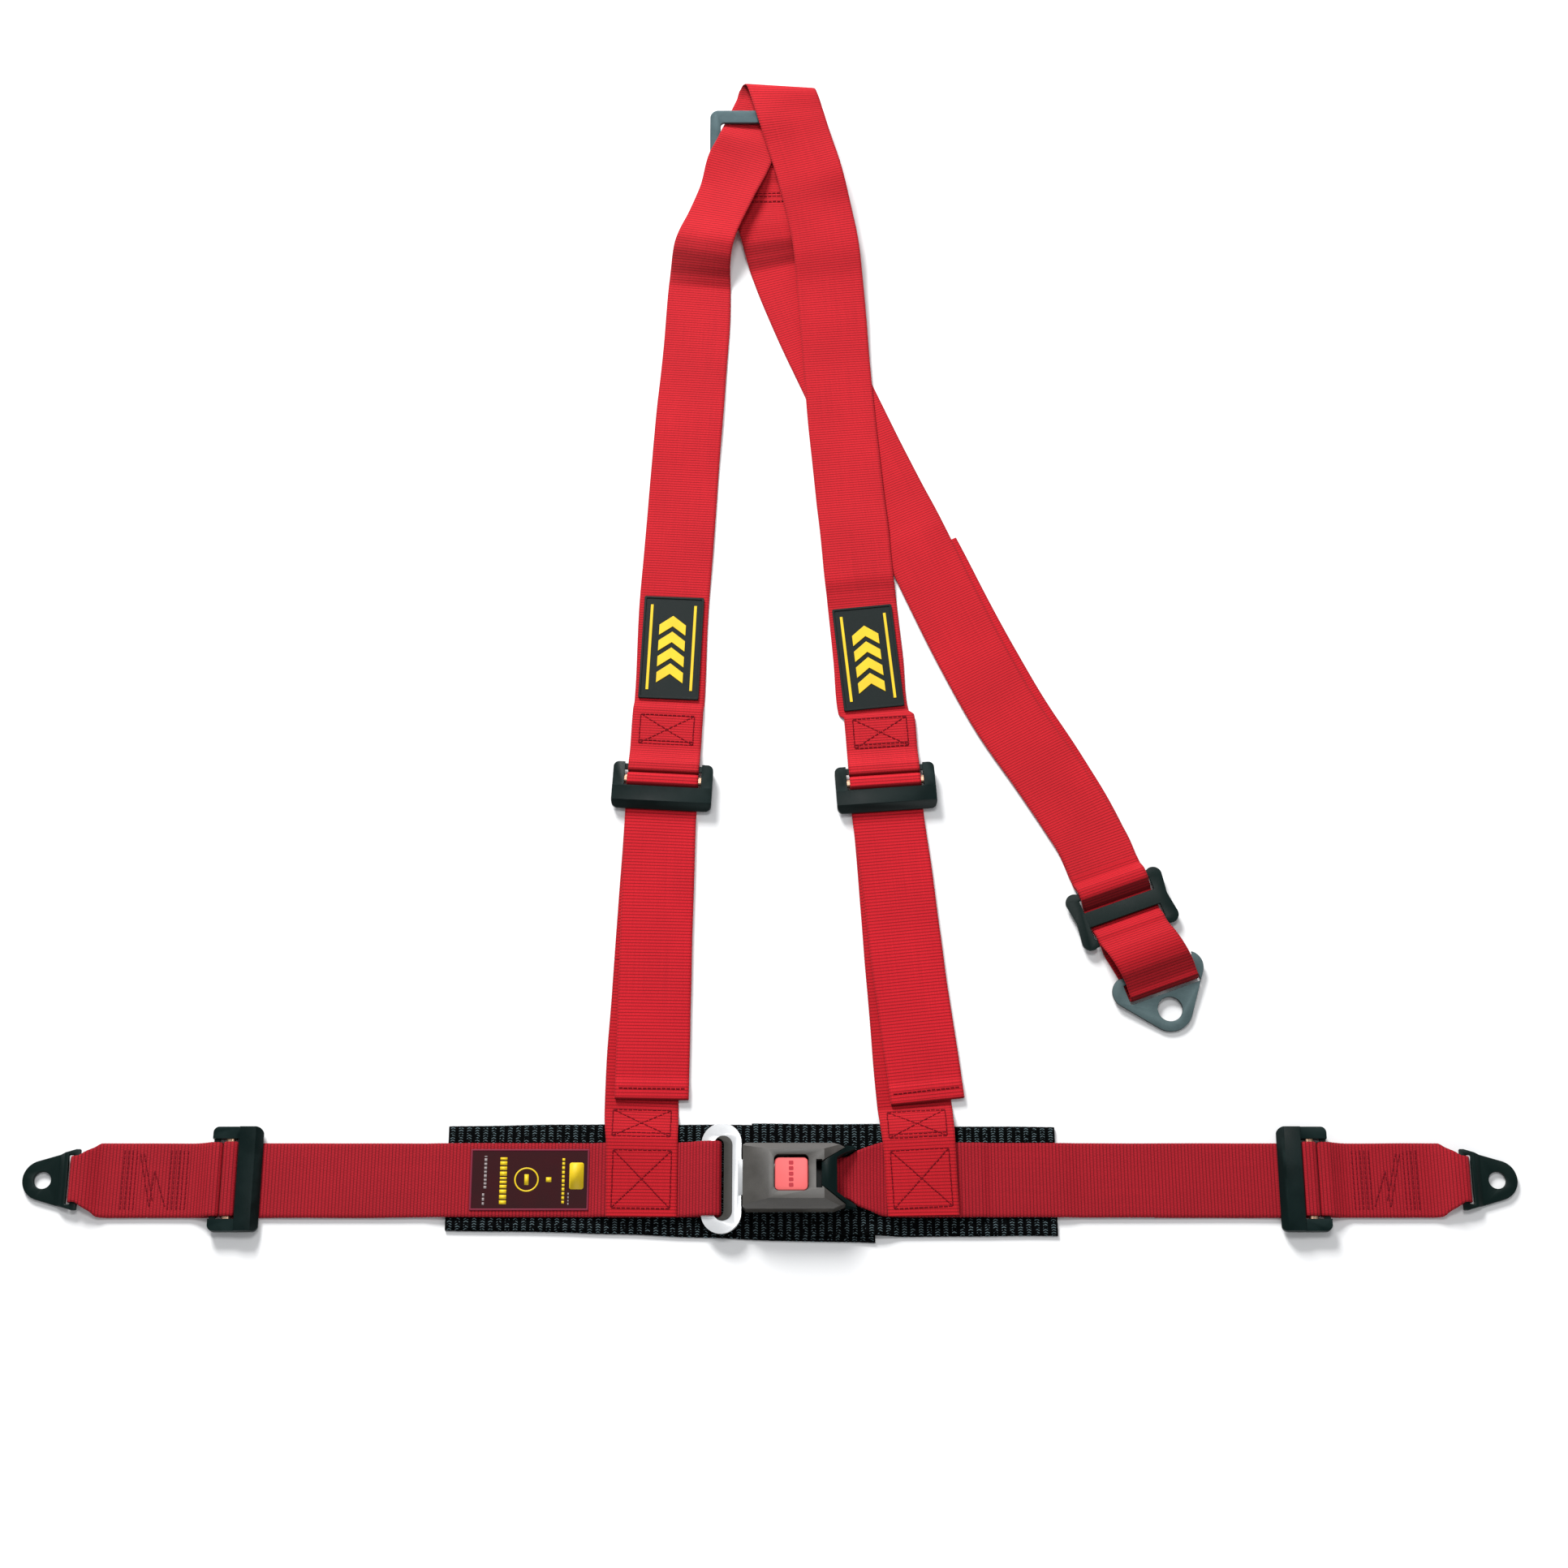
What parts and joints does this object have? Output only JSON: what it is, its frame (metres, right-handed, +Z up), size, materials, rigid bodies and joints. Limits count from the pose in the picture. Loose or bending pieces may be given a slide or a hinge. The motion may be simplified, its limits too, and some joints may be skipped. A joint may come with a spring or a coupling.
{
  "type": "racing harness",
  "caption": "Clip-in racing harness laid flat: lap belt with a push-button buckle and back pads, shoulder straps meeting in a steel ring, and a single rear strap to a triangular anchor",
  "frame": {"origin": "centre of the footprint on the table, z = 0 at the table", "axes": "+X along the lap belt towards the buckle's webbing end, +Y from the lap belt up to the neck, +Z up from the table"},
  "size_m": [0.997, 0.892, 0.0254],
  "materials": {
    "buckle_plastic": "fine satin grain",
    "plain_steel": "zinc plated",
    "black_plastic": "satin moulded",
    "button_plastic": "satin",
    "ejector_plastic": "plain",
    "chromed_steel": "polished",
    "black_steel": "satin black coat",
    "ring_steel": "grey satin coat",
    "pad_webbing": "coarse ribbed webbing",
    "badge_rubber": "moulded with yellow bars",
    "label_cloth": "printed cloth",
    "lap_webbing": "ribbed polyester webbing",
    "shoulder_webbing": "ribbed polyester webbing"
  },
  "bodies": {
    "buckle_side": {"buckle_top_cover": "buckle_plastic", "buckle_bottom_cover": "buckle_plastic", "buckle_frame": "plain_steel", "webbing_guide": "black_plastic", "cover_rivets": "plain_steel", "latch_pin": "plain_steel", "latch_spring": "plain_steel", "ejector_spring": "plain_steel", "lap_strap_right": "lap_webbing", "shoulder_stub_right": "shoulder_webbing", "back_pad_right": "pad_webbing"},
    "tongue_side": {"tongue_plate": "chromed_steel", "tongue_trim": "black_plastic", "lap_strap_left": "lap_webbing", "shoulder_stub_left": "shoulder_webbing", "back_pad_left": "pad_webbing", "approval_label": "label_cloth"},
    "button": {"release_button": "button_plastic"},
    "latch_lever": {"latch": "plain_steel"},
    "ejector_slider": {"ejector": "ejector_plastic"},
    "shoulder_part": {"shoulder_strap": "shoulder_webbing", "harness_ring": "ring_steel", "rear_strap": "shoulder_webbing", "badge_left": "badge_rubber", "badge_right": "badge_rubber", "shoulder_adjuster_frame_left": "plain_steel", "shoulder_adjuster_frame_right": "plain_steel", "shoulder_adjuster_cover_left": "black_plastic", "shoulder_adjuster_cover_right": "black_plastic", "shoulder_tail_left": "shoulder_webbing", "shoulder_tail_right": "shoulder_webbing"},
    "shoulder_lock_left": {"shoulder_lock_bar_left": "plain_steel"},
    "shoulder_lock_right": {"shoulder_lock_bar_right": "plain_steel"},
    "rear_adjuster": {"rear_slide": "black_steel", "rear_loop": "shoulder_webbing", "rear_tail": "shoulder_webbing"},
    "rear_plate": {"rear_anchor": "black_steel"},
    "lap_adjuster_part_left": {"lap_adjuster_frame_left": "plain_steel", "lap_adjuster_cover_left": "black_plastic", "lap_tail_left": "lap_webbing", "anchor_strap_left": "lap_webbing"},
    "lap_adjuster_part_right": {"lap_adjuster_frame_right": "plain_steel", "lap_adjuster_cover_right": "black_plastic", "lap_tail_right": "lap_webbing", "anchor_strap_right": "lap_webbing"},
    "lap_lock_left": {"lap_lock_bar_left": "plain_steel"},
    "lap_lock_right": {"lap_lock_bar_right": "plain_steel"},
    "lap_plate_left": {"lap_anchor_left": "black_steel"},
    "lap_plate_right": {"lap_anchor_right": "black_steel"}
  },
  "joints": [
    {"name": "tongue_release", "type": "slide", "parent": "buckle_side", "child": "tongue_side", "axis": [-1, 0, 0], "range_m": [0, 0.04]},
    {"name": "button_press", "type": "slide", "parent": "buckle_side", "child": "button", "axis": [0, 0, -1], "range_m": [0, 0.003], "stiffness_N_per_m": 900},
    {"name": "latch_turn", "type": "hinge", "parent": "buckle_side", "child": "latch_lever", "pos_m": [0.012, -0.402, 0.0146], "axis": [0, 1, 0], "range_deg": [0, 17]},
    {"name": "ejector_push", "type": "slide", "parent": "buckle_side", "child": "ejector_slider", "axis": [-1, 0, 0], "range_m": [0, 0.008]},
    {"name": "shoulder_adjust", "type": "slide", "parent": "buckle_side", "child": "shoulder_part", "axis": [0, 1, 0], "range_m": [0, 0.05]},
    {"name": "shoulder_lock_left_slip", "type": "slide", "parent": "shoulder_part", "child": "shoulder_lock_left", "axis": [-0.0523, -0.9986, 0], "range_m": [0, 0.001]},
    {"name": "shoulder_lock_right_slip", "type": "slide", "parent": "shoulder_part", "child": "shoulder_lock_right", "axis": [0.0698, -0.9976, 0], "range_m": [0, 0.001]},
    {"name": "rear_adjust", "type": "slide", "parent": "shoulder_part", "child": "rear_adjuster", "axis": [0.342, -0.9397, 0], "range_m": [0, 0.06]},
    {"name": "rear_plate_swing", "type": "hinge", "parent": "rear_adjuster", "child": "rear_plate", "pos_m": [0.25936, -0.25934, 0.0043], "axis": [-0.9397, -0.342, 0], "range_deg": [0, 70]},
    {"name": "lap_adjust_left", "type": "slide", "parent": "tongue_side", "child": "lap_adjuster_part_left", "axis": [-1, 0, 0], "range_m": [0, 0.06]},
    {"name": "lap_adjust_right", "type": "slide", "parent": "buckle_side", "child": "lap_adjuster_part_right", "axis": [1, 0, 0], "range_m": [0, 0.06]},
    {"name": "lap_lock_left_slip", "type": "slide", "parent": "lap_adjuster_part_left", "child": "lap_lock_left", "axis": [1, 0, 0], "range_m": [0, 0.001]},
    {"name": "lap_lock_right_slip", "type": "slide", "parent": "lap_adjuster_part_right", "child": "lap_lock_right", "axis": [-1, 0, 0], "range_m": [0, 0.001]},
    {"name": "lap_plate_left_swing", "type": "hinge", "parent": "lap_adjuster_part_left", "child": "lap_plate_left", "pos_m": [-0.4625, -0.402, 0.0043], "axis": [0, 1, 0], "range_deg": [0, 70]},
    {"name": "lap_plate_right_swing", "type": "hinge", "parent": "lap_adjuster_part_right", "child": "lap_plate_right", "pos_m": [0.4625, -0.402, 0.0043], "axis": [0, -1, 0], "range_deg": [0, 70]}
  ],
  "couplings": [
    {"joint": "latch_turn", "follows": "button_press", "rad_per_m": 98.902},
    {"joint": "ejector_push", "follows": "tongue_release", "ratio": 0.2}
  ]
}
